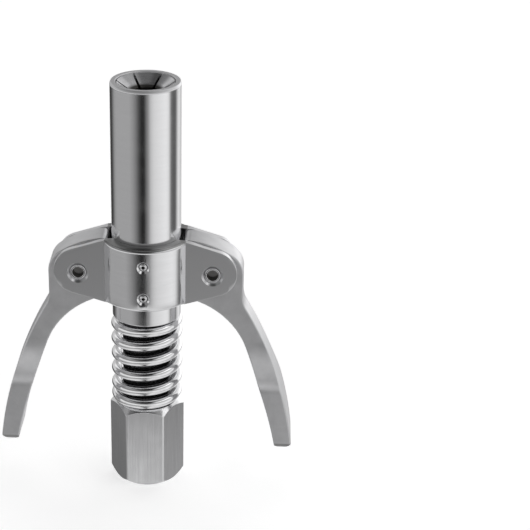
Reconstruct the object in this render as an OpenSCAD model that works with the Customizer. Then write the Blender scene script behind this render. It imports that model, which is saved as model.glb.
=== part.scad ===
// Locking grease coupler: a spring-loaded sleeve closes six jaws on a grease nipple,
// and two squeeze levers pull the sleeve back towards the hex body to let go.
// Millimetres. Origin at the centre of the hex body's lower face, +Z towards the mouth,
// levers along X, front of the bracket along -Y.

/* [Hex body] */
// Width across the flats of the hex body
hex_af = 16; // [15:0.5:19]
// Height of the hex body
hex_h = 21.4; // [18:0.1:28]
// Angle of the turned chamfer on the upper corners, from the horizontal
hex_top_angle = 42; // [25:1:55]
// Angle of the turned chamfer on the lower corners, from the horizontal
hex_low_angle = 42; // [25:1:58]
// Height of the chamfer at the middle of a flat
hex_face_cut = 0.5; // [0.2:0.1:1]
// Tap-drill diameter of the hose port
port_d = 8.7; // [8:0.1:9.4]
// Depth of the hose port
port_depth = 11; // [8:0.5:12]

/* [Stem] */
// Diameter of the stem inside the return spring
stem_d = 11.8; // [10.6:0.1:12.2]
// Diameter of the threaded stub that screws into the hex body
stub_d = 9.9; // [8.4:0.1:10.4]
// Length of that stub
stub_h = 9.2; // [6:0.1:9.6]
// Diameter of the neck that the lever fingers reach round
neck_d = 7.2; // [6:0.1:7.6]
// Diameter of the grease passage
passage_d = 2.6; // [2:0.1:3]
// Diameter of the check valve's chamber
chamber_d = 5; // [4.6:0.1:5.2]

/* [Return spring] */
// Installed length of the return spring
spring_h = 23; // [21.5:0.1:27]
// Outer diameter of the return spring
spring_od = 17.4; // [17:0.1:18.2]
// Wire diameter of the return spring
spring_wire = 2.5; // [1.8:0.1:2.6]
// Turns of the return spring
spring_turns = 5.75; // [5:0.25:6]

/* [Sleeve] */
// Outer diameter of the sleeve
sleeve_d = 16.6; // [16.4:0.1:18]
// Length of the sleeve
sleeve_h = 58.7; // [56:0.1:68]
// Bore of the sleeve, which slides on the stem's head
sleeve_bore = 13.8; // [13.5:0.1:14.2]
// Diameter of the conical jaw seat at the mouth
mouth_d = 13.9; // [13.6:0.1:14.4]
// Diameter at the small end of the jaw seat
land_d = 12.4; // [12.2:0.1:12.7]
// Height of the conical jaw seat
seat_h = 4; // [3.6:0.1:4.4]
// Height of the straight land below the jaw seat
land_h = 3.1; // [2:0.1:3.4]
// Chamfer of the rim's outer edge
rim_cut = 0.6; // [0.1:0.05:0.8]

/* [Jaws] */
// Diameter of the throat that closes behind the nipple's head
throat_d = 6.4; // [5.6:0.1:6.4]
// Length of the throat
throat_h = 1.4; // [1:0.1:1.8]
// Half angle of the lead-in funnel, from the axis
funnel_angle = 54; // [48:1:58]
// Width of the slits between the jaws
slit_w = 0.45; // [0.3:0.05:0.6]
// Length of a jaw
jaw_h = 16.2; // [15.6:0.1:18]
// Height of a jaw's hooked foot
foot_h = 2.6; // [2.2:0.1:3]

/* [Bracket] */
// Height of the bracket
bracket_h = 16.1; // [15.5:0.1:18]
// Height of the bracket's lower edge above the sleeve's lower end
bracket_lift = 4.9; // [3:0.1:6.5]
// Wall of the half shells round the sleeve
bracket_wall = 2.6; // [2:0.1:3]
// Thickness of the ears
ear_t = 1.6; // [1.4:0.1:2.2]
// Radius of the ear's rounded end
ear_r = 5.8; // [5:0.1:6.2]
// Chamfer of the shell's upper and lower edge
shell_cut = 0.3; // [0.1:0.05:0.5]

/* [Levers] */
// Distance of the lever pivots from the axis
pivot_reach = 16; // [15.6:0.1:18]
// Height of the lever pivots above the sleeve's lower end
pivot_rise = 12.4; // [12:0.1:14]
// Thickness of a lever between the ears
lever_t = 7; // [6:0.1:7.6]
// Width of the finger grip at the lever's end
grip_t = 12; // [10:0.1:13]
// Height at which the grip starts to flare, below the pivot
flare_drop = 18; // [15:0.5:22]
// Length of the flare
flare_h = 12.4; // [10:0.1:16]
// Drop from the pivot to the lever's tip
lever_drop = 46; // [42:0.1:50]
// Distance of the tip's outer corner from the pivot, along X
lever_spread = 20; // [18:0.1:22]
// Width of the lever at its tip
tip_w = 3.8; // [3.4:0.1:4.6]
// Radius of the lever's rounded end, in side view
tip_round = 3; // [2.4:0.1:3.6]
// Radius of the lever's outer edge
back_r = 90; // [80:1:110]
// Radius of the lever's inner edge
palm_r = 216; // [180:1:260]
// Radius of the arch under the lever's hub
arch_r = 20.2; // [18.5:0.1:21.5]
// Radius of the hub's crowned top
crown_r = 25.4; // [24:0.1:28]
// Height of the crowned top's highest point above the pivot
crown_rise = 8.6; // [8:0.1:9.4]
// Distance of the hub's outer side from the pivot
hub_reach = 7.3; // [7:0.1:8]
// Thickness of the finger that lifts the stem's shoulder
finger_d = 3.2; // [2.6:0.1:3.4]
// Width of that finger
finger_w = 5.6; // [4:0.1:6]

/* [Pins and valve] */
// Diameter of the lever pivot pins
pivot_d = 3.9; // [3.4:0.1:4.2]
// Diameter of the recess in the pivot pins' ends
pivot_recess_d = 2.7; // [2:0.1:2.9]
// Diameter of the countersink round the pivot pins
sink_d = 5.2; // [4.6:0.1:5.6]
// Diameter of the pins that hold the bracket to the sleeve
collar_pin_d = 1.9; // [1.5:0.1:2.2]
// Height of the upper pins above the bracket's lower edge
pin_high = 11.7; // [10:0.1:12.6]
// Height of the lower pins above the bracket's lower edge
pin_low = 3.6; // [3:0.1:5]
// Diameter of the check ball
ball_d = 4; // [3.8:0.1:4.2]

/* [Clearances] */
// Radial running clearance of sleeve, pins and levers
run_gap = 0.08; // [0.05:0.01:0.1]
// Gap between pieces that are pressed or screwed together
seat_gap = 0.03; // [0.02:0.01:0.05]
// Side clearance between a lever and the ears
side_gap = 0.12; // [0.08:0.02:0.2]
// Clearance round the jaws, which swing in the sleeve
jaw_gap = 0.1; // [0.08:0.01:0.14]

/* [Hidden] */
$fn = 64;
far = 200;

// Levels along the axis, from the hex body up
sleeve_z = hex_h + spring_h;
mouth_z = sleeve_z + sleeve_h;
pivot_z = sleeve_z + pivot_rise;
bracket_z = sleeve_z + bracket_lift;
bracket_top = bracket_z + bracket_h;

// Lever finger, and the stem's groove that it works in
finger_r = finger_d / 2;
finger_bite = 1.2;
finger_play = 0.1;
groove_play = 2.6;
head_r = sleeve_bore / 2 - run_gap;
finger_x = head_r - finger_bite;
shoulder_z = pivot_z + finger_r + finger_play;
groove_z = shoulder_z - finger_d - groove_play / 2;
window_play = 0.4;
window_rise = 4.5;
window_low = pivot_z - finger_r - window_play;
window_h = finger_d + window_play + window_rise;
window_w = finger_w + 2 * window_play;

// Jaws, and the stem's front end that holds their feet
jaw_count = 6;
jaw_inset = 0.2;
jaw_lip = 0.2;
jaw_top = mouth_z - jaw_inset;
jaw_foot = jaw_top - jaw_h;
foot_play = 0.2;
head_top = jaw_foot - foot_play;
hook_top = jaw_foot + foot_h + foot_play;
seat_slope = (mouth_d - land_d) / 2 / seat_h;
jaw_top_r = mouth_d / 2 - jaw_inset * seat_slope - jaw_gap;
hook_r = 4.2;
hook_play = 0.2;
flange_r = 5.2;
flange_h = 1.2;
flange_top = hook_top + flange_h;
jaw_cavity_r = 4.3;
foot_relief = 0.5;
arm_relief = 0.7;
foot_out_r = sleeve_bore / 2 - foot_relief;
arm_out_r = land_d / 2 - arm_relief;

// Grease way and check valve
valve_rise = 7.9;
valve_z = pivot_z + valve_rise;
chamber_h = 15;
nose_z = valve_z + chamber_h;
nose_r = 2.8;
nose_reach = 3.3;
nose_top = flange_top + nose_reach;
seal_h = 2.05;
ball_z = valve_z + (ball_d / 2 + seat_gap) * sqrt(2) - passage_d / 2;

// Bracket shells and ears
shell_in_r = sleeve_d / 2 + seat_gap;
shell_out_r = shell_in_r + bracket_wall;
ear_in = lever_t / 2 + side_gap;
ear_out = ear_in + ear_t;
ear_lift = 0.5;
ear_root = sqrt(pow(shell_out_r, 2) - pow(ear_out, 2));

// Point on a circle
function polar(centre, radius, angle) = centre + radius * [cos(angle), sin(angle)];

// Tangent point on a circle, seen from a point outside it; side is 1 or -1
function tangent(point, centre, radius, side) =
  let (away = point - centre)
  polar(centre, radius, atan2(away[1], away[0]) + side * acos(radius / norm(away)));

// Ring of a coil spring's wire, seen along the wire, at one place of its length
function wire_ring(centre, heading, wire_r, sides) =
  [for (i = [0:sides - 1])
    let (a = 360 * i / sides)
    centre + wire_r * [cos(a) * cos(heading), cos(a) * sin(heading), sin(a)]];

// Height of a coil after some turns, in pitches: the pitch eases to nothing at each closed end
function eased(turn, turns, ease) =
  let (t = min(turn, turns - turn), climb = turn < turns / 2 ? 0 : turns - ease)
  t >= ease ? turn - ease / 2 : climb + (turn < turns / 2 ? 1 : -1) * t * t / (2 * ease);

// Coil spring with closed ends, standing on z = 0
module coil(height, mean_r, wire_d, turns, steps, sides, start) {
  ease = 0.75;
  pitch = (height - wire_d) / (turns - ease);
  count = round(turns * steps);
  rings = [for (i = [0:count])
    let (turn = turns * i / count, a = start + 360 * turn)
    wire_ring([mean_r * cos(a), mean_r * sin(a), wire_d / 2 + pitch * eased(turn, turns, ease)],
              a, wire_d / 2, sides)];
  points = [for (ring = rings) each ring];
  walls = [for (i = [0:count - 1], j = [0:sides - 1])
    let (k = (j + 1) % sides)
    [i * sides + j, i * sides + k, (i + 1) * sides + k, (i + 1) * sides + j]];
  first_end = [for (j = [0:sides - 1]) sides - 1 - j];
  last_end = [for (j = [0:sides - 1]) count * sides + j];
  polyhedron(points, concat([first_end], walls, [last_end]), convexity = 10);
}

// Solid of revolution from a half profile in (radius, height)
module turned(profile) {
  rotate_extrude() polygon(profile);
}

// Plate in the XZ plane, centred on y = 0
module upright(thickness) {
  rotate([90, 0, 0]) linear_extrude(thickness, center = true) children();
}

// Hex prism with both ends turned to a cone, so that only the corners are cut
module hex_body() {
  flat_r = hex_af / 2;
  corner_r = flat_r / cos(30);
  top_r = flat_r - hex_face_cut / tan(hex_top_angle);
  low_r = flat_r - hex_face_cut / tan(hex_low_angle);
  top_cut = (corner_r - top_r) * tan(hex_top_angle);
  low_cut = (corner_r - low_r) * tan(hex_low_angle);
  over = 1;
  color("silver") difference() {
    intersection() {
      cylinder(r = corner_r, h = hex_h, $fn = 6);
      turned([[0, 0], [low_r, 0], [corner_r, low_cut], [corner_r, hex_h - top_cut],
              [top_r, hex_h], [0, hex_h]]);
    }
    translate([0, 0, -over]) cylinder(d = port_d, h = port_depth + over);
    cylinder(d = passage_d, h = hex_h);
    translate([0, 0, hex_h - stub_h]) cylinder(d = stub_d + 2 * seat_gap, h = stub_h + over);
  }
}

// Turned core: stub, stem, finger groove, guide head and the neck that holds the jaw feet
module stem() {
  stub_low = hex_h - stub_h + seat_gap;
  stem_low = hex_h + seat_gap;
  chamber_r = chamber_d / 2;
  passage_r = passage_d / 2;
  socket_r = nose_r + seat_gap;
  color("gainsboro") difference() {
    turned([
      [0, stub_low], [stub_d / 2, stub_low], [stub_d / 2, stem_low],
      [stem_d / 2, stem_low], [stem_d / 2, groove_z],
      [neck_d / 2, groove_z], [neck_d / 2, shoulder_z],
      [head_r, shoulder_z], [head_r, head_top],
      [hook_r, head_top], [hook_r, hook_top], [0, hook_top]
    ]);
    turned([
      [0, 0], [passage_r, 0], [passage_r, valve_z],
      [chamber_r, valve_z + chamber_r - passage_r], [chamber_r, nose_z],
      [socket_r, nose_z], [socket_r, far], [0, far]
    ]);
  }
}

// Return spring between the hex body and the sleeve
module return_spring() {
  start = 150;
  steps = 18;
  sides = 10;
  color("whitesmoke") translate([0, 0, hex_h + seat_gap])
    coil(spring_h - 2 * seat_gap, (spring_od - spring_wire) / 2, spring_wire, spring_turns,
         steps, sides, start);
}

// Flanged tube in the stem's front end: it keeps the jaw feet in place and carries the seal
module nose_tube() {
  bore_r = 1.2;
  low = nose_z + seat_gap;
  flange_low = hook_top + seat_gap;
  color("silver") turned([
    [bore_r, low], [nose_r, low], [nose_r, flange_low], [flange_r, flange_low],
    [flange_r, flange_top], [nose_r, flange_top], [nose_r, nose_top], [bore_r, nose_top]
  ]);
}

// Rubber seal on the nose tube, dished to fit the nipple's round head
module nipple_seal() {
  bore_r = 1;
  seal_r = 3.3;
  dish = 0.7;
  lip = 0.5;
  low = nose_top + seat_gap;
  top = low + seal_h;
  color("dimgray") turned([
    [bore_r, low], [seal_r, low], [seal_r, top], [seal_r - lip, top], [bore_r, top - dish]
  ]);
}

// Check ball on its cone seat
module check_ball() {
  color("lightgray") translate([0, 0, ball_z]) sphere(d = ball_d);
}

// Light spring that holds the check ball down, under the nose tube
module check_spring() {
  wire_d = 0.5;
  mean_r = 1.6;
  start = 0;
  turns = 8;
  steps = 10;
  sides = 6;
  lift = sqrt(pow(ball_d / 2 + wire_d / 2 + seat_gap, 2) - pow(mean_r, 2));
  low = ball_z + lift - wire_d / 2;
  color("whitesmoke") translate([0, 0, low])
    coil(nose_z - low, mean_r, wire_d, turns, steps, sides, start);
}

// Split wire ring inside the jaws, which spreads them when the sleeve goes back
module jaw_spring_ring() {
  wire_r = 0.45;
  ring_r = jaw_cavity_r - jaw_gap - wire_r;
  lift = 2.4;
  split = 40;
  color("gray") translate([0, 0, flange_top + lift]) rotate([0, 0, split / 2])
    rotate_extrude(angle = 360 - split) translate([ring_r, 0]) circle(r = wire_r, $fn = 16);
}

// One jaw: hooked foot, spring arm, gripping lip and its share of the lead-in funnel
module jaw(index) {
  share = 360 / jaw_count;
  throat_r = throat_d / 2;
  funnel_r = jaw_top_r - jaw_lip;
  throat_top = jaw_top - (funnel_r - throat_r) / tan(funnel_angle);
  throat_low = throat_top - throat_h;
  seat_low = mouth_z - seat_h - jaw_inset;
  arm_drop = 2;
  arm_top = mouth_z - seat_h - arm_drop;
  bend = 1.2;
  arm_play = 0.15;
  arm_in_r = flange_r + arm_play;
  cavity_step = 0.4;
  seat_play = 0.05;
  over = 1;
  hook_in_r = hook_r + hook_play;
  profile = [
    [hook_in_r, jaw_foot], [foot_out_r, jaw_foot],
    [foot_out_r, flange_top], [arm_out_r, flange_top + bend],
    [arm_out_r, arm_top], [land_d / 2 - jaw_gap - seat_play, seat_low],
    [jaw_top_r, jaw_top], [funnel_r, jaw_top],
    [throat_r, throat_top], [throat_r, throat_low],
    [jaw_cavity_r, throat_low - (jaw_cavity_r - throat_r)],
    [jaw_cavity_r, flange_top + bend + cavity_step / 2], [arm_in_r, flange_top + cavity_step],
    [arm_in_r, jaw_foot + foot_h], [hook_in_r, jaw_foot + foot_h]
  ];
  color("darkgray") rotate([0, 0, share * (index - 0.5)]) difference() {
    rotate([0, 0, -share / 2]) rotate_extrude(angle = share) polygon(profile);
    for (side = [-1, 1])
      rotate([0, 0, side * share / 2])
        translate([0, -slit_w / 2, jaw_foot - over]) cube([sleeve_d, slit_w, jaw_h + 2 * over]);
  }
}
module jaw_1() { jaw(1); }
module jaw_2() { jaw(2); }
module jaw_3() { jaw(3); }
module jaw_4() { jaw(4); }
module jaw_5() { jaw(5); }
module jaw_6() { jaw(6); }

// Holes along Y for the two bracket pins at the front and the two at the rear
module collar_pin_holes() {
  for (rise = [pin_low, pin_high])
    translate([0, 0, bracket_z + rise]) rotate([90, 0, 0])
      cylinder(d = collar_pin_d + 2 * seat_gap, h = far, center = true, $fn = 32);
}

// Sliding sleeve with the jaw seat in its mouth and a window each side for a lever finger
module outer_sleeve() {
  outer_r = sleeve_d / 2;
  bore_r = sleeve_bore / 2;
  land_r = land_d / 2;
  seat_low = mouth_z - seat_h;
  step_z = seat_low - land_h;
  foot_cut = 0.3;
  color("lightgray") difference() {
    turned([
      [bore_r, sleeve_z], [outer_r - foot_cut, sleeve_z], [outer_r, sleeve_z + foot_cut],
      [outer_r, mouth_z - rim_cut], [outer_r - rim_cut, mouth_z], [mouth_d / 2, mouth_z],
      [land_r, seat_low], [land_r, step_z], [bore_r, step_z]
    ]);
    translate([-far / 2, -window_w / 2, window_low]) cube([far, window_w, window_h]);
    collar_pin_holes();
  }
}

// Side view of one ear: a round end tapering out to the full height of the shell
module ear_outline() {
  centre = [pivot_reach, pivot_z + ear_lift];
  low_root = [ear_root, bracket_z];
  top_root = [ear_root, bracket_top];
  inside = ear_root - bracket_wall / 3;
  translate(centre) circle(r = ear_r);
  polygon([[inside, bracket_z], low_root, tangent(low_root, centre, ear_r, 1), centre,
           tangent(top_root, centre, ear_r, -1), top_root, [inside, bracket_top]]);
}

// Half shell with two ears, drilled for the pivot pins and the collar pins
module bracket() {
  sink_h = (sink_d - pivot_d) / 2;
  shell_sink_d = 3.2;
  shell_sink_h = 0.55;
  difference() {
    union() {
      intersection() {
        turned([
          [shell_in_r, bracket_z], [shell_out_r - shell_cut, bracket_z],
          [shell_out_r, bracket_z + shell_cut], [shell_out_r, bracket_top - shell_cut],
          [shell_out_r - shell_cut, bracket_top], [shell_in_r, bracket_top]
        ]);
        translate([-far / 2, -far - ear_in, 0]) cube([far, far, far]);
      }
      for (side = [0, 1]) mirror([side, 0, 0])
        translate([0, -(ear_in + ear_t / 2), 0]) upright(ear_t) ear_outline();
    }
    for (side = [-1, 1]) translate([side * pivot_reach, 0, pivot_z]) rotate([90, 0, 0]) {
      cylinder(d = pivot_d + 2 * seat_gap, h = far);
      translate([0, 0, ear_out - sink_h])
        cylinder(d1 = pivot_d, d2 = sink_d + pivot_d, h = 2 * sink_h + ear_t / 2);
    }
    collar_pin_holes();
    for (rise = [pin_low, pin_high]) translate([0, 0, bracket_z + rise]) rotate([90, 0, 0])
      translate([0, 0, shell_out_r - shell_sink_h])
        cylinder(d1 = collar_pin_d, d2 = shell_sink_d + collar_pin_d, h = 2 * shell_sink_h, $fn = 32);
  }
}
module bracket_front() { color("silver") bracket(); }
module bracket_rear() { color("silver") mirror([0, 1, 0]) bracket(); }

// Domed pin with a centre dimple, from the sleeve's bore out through the shell
module collar_pin(rise, turn) {
  pin_r = collar_pin_d / 2;
  low = sleeve_bore / 2 + run_gap;
  sunk = 0.1;
  top = shell_out_r - sunk;
  dome = 0.4;
  dimple_r = 0.45;
  dimple = 0.35;
  color("lightgray") translate([0, 0, bracket_z + rise]) rotate([turn, 0, 0]) rotate_extrude($fn = 32)
    polygon(concat([[0, low], [pin_r, low], [pin_r, top - dome]],
                   [[(pin_r + dimple_r) / 2, top - dome / 4], [dimple_r, top], [0, top - dimple]]));
}
module collar_pin_front_upper() { collar_pin(pin_high, 90); }
module collar_pin_front_lower() { collar_pin(pin_low, 90); }
module collar_pin_rear_upper() { collar_pin(pin_high, -90); }
module collar_pin_rear_lower() { collar_pin(pin_low, -90); }

// Tubular-ended pivot pin across both ears
module pivot_pin(side) {
  pin_r = pivot_d / 2;
  recess_r = pivot_recess_d / 2;
  recess = 2.2;
  sunk = 0.35;
  half = ear_out - sunk;
  edge = 0.25;
  color("gray") translate([side * pivot_reach, 0, pivot_z]) rotate([90, 0, 0])
    turned([
      [0, -half + recess], [recess_r, -half + recess], [recess_r, -half], [pin_r - edge, -half],
      [pin_r, -half + edge], [pin_r, half - edge], [pin_r - edge, half], [recess_r, half],
      [recess_r, half - recess], [0, half - recess]
    ]);
}
module pivot_pin_left() { pivot_pin(-1); }
module pivot_pin_right() { pivot_pin(1); }

// Side view of the right lever, with the pivot at the origin
module lever_outline() {
  tip_lean = 5.5;
  palm_lean = 13.3;
  back_c = [lever_spread, -lever_drop] - back_r * [cos(tip_lean), sin(tip_lean)];
  palm_c = [lever_spread - tip_w, -lever_drop] - palm_r * [cos(palm_lean), sin(palm_lean)];
  // The arch runs into the inner edge without a corner
  arch_a = 20.7;
  join = polar(palm_c, palm_r, arch_a);
  arch_c = polar(palm_c, palm_r - arch_r, arch_a);
  crown_x = -9.1;
  crown_c = [crown_x, crown_rise - crown_r];
  nose_gap = 0.7;
  nose_x = sleeve_d / 2 + nose_gap - pivot_reach;
  heel_step = 2;
  heel_x = nose_x + heel_step;
  heel_z = -2.2;
  // Convex corner between the crowned top and the hub's outer side
  corner_r = 5.8;
  corner_x = hub_reach - corner_r;
  corner = [corner_x, crown_c[1] + sqrt(pow(crown_r - corner_r, 2) - pow(corner_x - crown_c[0], 2))];
  corner_a = atan2(corner[1] - crown_c[1], corner[0] - crown_c[0]);
  // Round end of the nose, next to the sleeve; the rounds overlap a hair, to cross the edges they blend
  round_lap = 0.02;
  nose_r = 1.5;
  nose = [nose_x + nose_r,
          crown_c[1] + sqrt(pow(crown_r - nose_r, 2) - pow(nose_x + nose_r - crown_c[0], 2))];
  nose_a = atan2(nose[1] - crown_c[1], nose[0] - crown_c[0]);
  // Concave fillet from the hub's outer side into the outer edge
  waist_r = 6.2;
  waist_lap = 1.5;
  waist_x = hub_reach + waist_r;
  waist = [waist_x, back_c[1] + sqrt(pow(back_r + waist_r, 2) - pow(waist_x - back_c[0], 2))];
  waist_end = back_c + back_r * (waist - back_c) / norm(waist - back_c);
  // The arm lies between the two long edges, from the rounded tip up to the fillet
  arm_low = tip_round - lever_drop;
  difference() {
    union() {
      intersection() {
        translate(crown_c) circle(r = crown_r, $fn = 128);
        polygon([[heel_x, join[1]], [heel_x, heel_z], [nose_x, heel_z + heel_step], [nose_x, nose[1]],
                 nose, polar(nose, 3 * nose_r, nose_a), polar(corner, 3 * corner_r, corner_a),
                 corner, [hub_reach, corner[1]], [hub_reach, waist_end[1]], join]);
      }
      translate(nose) circle(r = nose_r + round_lap);
      translate(corner) circle(r = corner_r + round_lap);
      difference() {
        polygon([[0, waist[1]], [hub_reach, waist[1]], waist, waist_end, [0, waist_end[1]]]);
        translate(waist) circle(r = waist_r + round_lap);
      }
      intersection() {
        difference() {
          translate(back_c) circle(r = back_r, $fn = 256);
          translate(palm_c) circle(r = palm_r, $fn = 256);
        }
        union() {
          translate([0, arm_low]) square([far, waist_end[1] + waist_lap - arm_low]);
          translate([lever_spread - tip_w / 2, arm_low]) circle(r = tip_round);
        }
      }
    }
    translate(arch_c) circle(r = arch_r, $fn = 96);
  }
}

// Edge view of the lever, in YZ: a plate that flares in a hollow curve to the wider grip
module lever_edge() {
  hub_half = lever_t / 2;
  grip_half = grip_t / 2;
  swell = grip_half - hub_half;
  flare_r = (pow(flare_h, 2) + pow(swell, 2)) / (2 * swell);
  end_r = 1.6;
  translate([-hub_half, -flare_drop]) square([lever_t, far]);
  difference() {
    union() {
      translate([-grip_half, end_r - lever_drop]) square([grip_t, lever_drop - end_r - flare_drop]);
      translate([end_r - grip_half, -lever_drop]) square([grip_t - 2 * end_r, lever_drop - flare_drop]);
      for (side = [-1, 1]) translate([side * (grip_half - end_r), end_r - lever_drop]) circle(r = end_r);
    }
    for (side = [-1, 1]) translate([side * (hub_half + flare_r), -flare_drop]) circle(r = flare_r, $fn = 128);
  }
}

// Squeeze lever: hub between the ears, finger into the stem's groove, grip flared wider below
module lever() {
  over = 1;
  color("darkgray") translate([pivot_reach, 0, pivot_z]) difference() {
    union() {
      intersection() {
        upright(grip_t + 2 * over) lever_outline();
        rotate([90, 0, 90]) linear_extrude(far, center = true) lever_edge();
      }
      upright(finger_w) {
        translate([finger_x - pivot_reach, 0]) circle(r = finger_r);
        translate([finger_x - pivot_reach, -finger_r]) square([pivot_reach - finger_x, finger_d]);
      }
    }
    rotate([90, 0, 0]) cylinder(d = pivot_d + 2 * run_gap, h = far, center = true);
  }
}
module lever_right() { lever(); }
module lever_left() { mirror([1, 0, 0]) lever(); }

hex_body();
stem();
return_spring();
nose_tube();
nipple_seal();
check_ball();
check_spring();
jaw_spring_ring();
jaw_1();
jaw_2();
jaw_3();
jaw_4();
jaw_5();
jaw_6();
outer_sleeve();
bracket_front();
bracket_rear();
collar_pin_front_upper();
collar_pin_front_lower();
collar_pin_rear_upper();
collar_pin_rear_lower();
pivot_pin_left();
pivot_pin_right();
lever_left();
lever_right();
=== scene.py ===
# Locking grease coupler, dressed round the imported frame. Meshes are drawn in millimetres
# and scaled to the frame's metres; each section is one piece, in the order of assembly.
import math

import bmesh
import bpy
from mathutils import Matrix, Vector


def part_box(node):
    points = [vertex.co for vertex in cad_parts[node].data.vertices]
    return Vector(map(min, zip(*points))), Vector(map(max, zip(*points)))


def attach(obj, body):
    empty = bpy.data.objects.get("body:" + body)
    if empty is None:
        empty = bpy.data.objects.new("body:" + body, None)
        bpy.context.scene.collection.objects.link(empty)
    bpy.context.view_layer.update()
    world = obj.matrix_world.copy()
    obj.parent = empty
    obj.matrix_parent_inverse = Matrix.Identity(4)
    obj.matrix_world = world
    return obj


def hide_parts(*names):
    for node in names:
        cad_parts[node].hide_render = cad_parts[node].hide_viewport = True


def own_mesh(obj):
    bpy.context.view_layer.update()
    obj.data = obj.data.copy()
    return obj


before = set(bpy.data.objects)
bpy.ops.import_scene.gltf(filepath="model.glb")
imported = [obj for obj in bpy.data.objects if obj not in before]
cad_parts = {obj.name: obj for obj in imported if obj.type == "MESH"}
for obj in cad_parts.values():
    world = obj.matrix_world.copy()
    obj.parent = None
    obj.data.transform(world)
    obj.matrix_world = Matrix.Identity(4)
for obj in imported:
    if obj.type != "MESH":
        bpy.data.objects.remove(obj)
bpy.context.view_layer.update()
MM = 0.001

# Hex body: a length of hexagon bar with both ends turned to a cone, drilled and tapped from below
# with a pipe thread and from above for the stem. Plated bright over the milled flats, so the fine
# upright grain of the bar still shows.


def box_mm(node):
    """Lowest and highest corner of a frame node, in millimetres."""
    low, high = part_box(node)
    return Vector(low) / MM, Vector(high) / MM


def arc(centre, radius, start, end, steps):
    """Points along a circle, angles in radians, both ends included."""
    turns = [start + (end - start) * k / steps for k in range(steps + 1)]
    return [Vector((centre[0] + radius * math.cos(a), centre[1] + radius * math.sin(a))) for a in turns]


def rounded(corners, steps=4):
    """Line through corners (across, along, fillet radius); a corner with a fillet becomes an arc."""
    line = []
    for i, (across, along, fillet) in enumerate(corners):
        here = Vector((across, along))
        if fillet == 0:
            line.append(here)
            continue
        before = (Vector(corners[i - 1][:2]) - here).normalized()
        after = (Vector(corners[i + 1][:2]) - here).normalized()
        half = before.angle(after) / 2
        centre = here + (before + after).normalized() * fillet / math.sin(half)
        first = here + before * fillet / math.tan(half) - centre
        last = here + after * fillet / math.tan(half) - centre
        start = math.atan2(first.y, first.x)
        sweep = math.atan2(first.x * last.y - first.y * last.x, first.dot(last))
        line += arc(centre, fillet, start, start + sweep, steps)
    return line


def loft(bm, loops, around=False, along=False):
    """Quads between neighbouring loops; around closes each loop, along joins the last to the first."""
    rows = [[bm.verts.new(point) for point in loop] for loop in loops]
    count = len(rows[0])
    followers = rows[1:] + rows[:1] if along else rows[1:]
    for row, follower in zip(rows, followers):
        for j in range(count if around else count - 1):
            k = (j + 1) % count
            bm.faces.new((row[j], row[k], follower[k], follower[j]))
    return rows


def swung(point, angle):
    """Point of a line in (radius, height), swung about Z."""
    return Vector((point.x * math.cos(angle), point.x * math.sin(angle), point.y))


def turned(profile, columns):
    """Mesh of revolution about Z from a line in (radius, height); the line may end on the axis."""
    bm = bmesh.new()
    on_axis = profile[0].x == 0 and profile[-1].x == 0
    angles = [math.tau * i / columns for i in range(columns)]
    loft(bm, [[swung(p, a) for p in profile] for a in angles], around=not on_axis, along=True)
    return bm


def solid(name, bm):
    """Object from a mesh drawn in millimetres, with doubled points merged and normals outward."""
    merge_gap = 0.0005
    bmesh.ops.remove_doubles(bm, verts=bm.verts, dist=merge_gap)
    bmesh.ops.recalc_face_normals(bm, faces=bm.faces)
    bmesh.ops.scale(bm, vec=(MM, MM, MM), verts=bm.verts)
    mesh = bpy.data.meshes.new(name)
    bm.to_mesh(mesh)
    bm.free()
    piece = bpy.data.objects.new(name, mesh)
    bpy.context.scene.collection.objects.link(piece)
    return piece


def dress(piece, material, body, node, sharp_angle=32):
    """Shading, finish and place in the frame of a piece that stands for one node."""
    piece.data.shade_smooth()
    piece.data.set_sharp_from_angle(angle=math.radians(sharp_angle))
    piece.data.materials.clear()
    piece.data.materials.append(material)
    even = piece.modifiers.new("even_walls", "WEIGHTED_NORMAL")
    even.keep_sharp = True
    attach(piece, body)
    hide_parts(node)
    return piece


def new_group(name, inputs, outputs):
    """Empty shader node group with named sockets; returns the group and its two end nodes."""
    group = bpy.data.node_groups.new(name, "ShaderNodeTree")
    for socket, kind in inputs:
        group.interface.new_socket(socket, in_out="INPUT", socket_type=kind)
    for socket, kind in outputs:
        group.interface.new_socket(socket, in_out="OUTPUT", socket_type=kind)
    return group, group.nodes.new("NodeGroupInput"), group.nodes.new("NodeGroupOutput")


# Tool marks: noise drawn out along the way the tool went, as a height and as a tone of the plate
tool_marks, marks_in, marks_out = new_group(
    "tool_marks",
    [("Place", "NodeSocketVector"), ("Lines", "NodeSocketVector")],
    [("Height", "NodeSocketFloat"), ("Tone", "NodeSocketFloat")],
)
mark_height = 0.05
stretch = tool_marks.nodes.new("ShaderNodeVectorMath")
stretch.operation = "MULTIPLY"
streaks = tool_marks.nodes.new("ShaderNodeTexNoise")
streaks.inputs["Scale"].default_value = 1
streaks.inputs["Detail"].default_value = 4
streaks.inputs["Roughness"].default_value = 0.6
level = tool_marks.nodes.new("ShaderNodeMapRange")
level.inputs["From Min"].default_value = 0.3
level.inputs["From Max"].default_value = 0.7
tool_marks.links.new(marks_in.outputs["Place"], stretch.inputs[0])
tool_marks.links.new(marks_in.outputs["Lines"], stretch.inputs[1])
tool_marks.links.new(stretch.outputs["Vector"], streaks.inputs["Vector"])
tool_marks.links.new(streaks.outputs["Fac"], level.inputs["Value"])
tool_marks.links.new(streaks.outputs["Fac"], marks_out.inputs["Height"])
tool_marks.links.new(level.outputs["Result"], marks_out.inputs["Tone"])

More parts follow.
